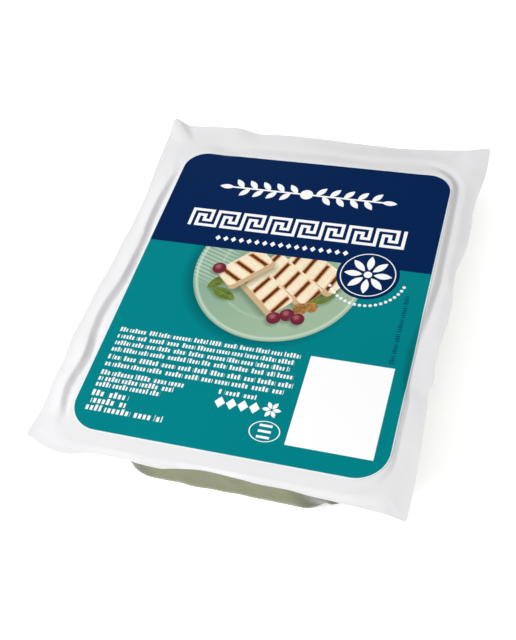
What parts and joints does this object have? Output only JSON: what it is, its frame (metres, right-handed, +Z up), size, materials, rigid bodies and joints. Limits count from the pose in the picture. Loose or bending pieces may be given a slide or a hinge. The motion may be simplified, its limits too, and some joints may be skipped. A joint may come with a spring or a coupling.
{
  "type": "halloumi pack",
  "caption": "Sealed pack of halloumi: cheese block in brine under clear formed film, with a flat white lid film, waved sealed edges and a rounded label.",
  "frame": {"origin": "middle of the flat foot of the pocket, on the surface that the pack lies on", "axes": "+X across the label to its right, +Y up the label towards its dark band, +Z up out of the label"},
  "size_m": [0.116, 0.1407, 0.0248],
  "materials": {
    "filled_base": "clear glossy film over cheese and brine",
    "lid_film": "opaque satin white film",
    "label": "printed satin label"
  },
  "bodies": {
    "root": {"filled_base": "filled_base", "lid_film": "lid_film", "label": "label"}
  },
  "joints": []
}
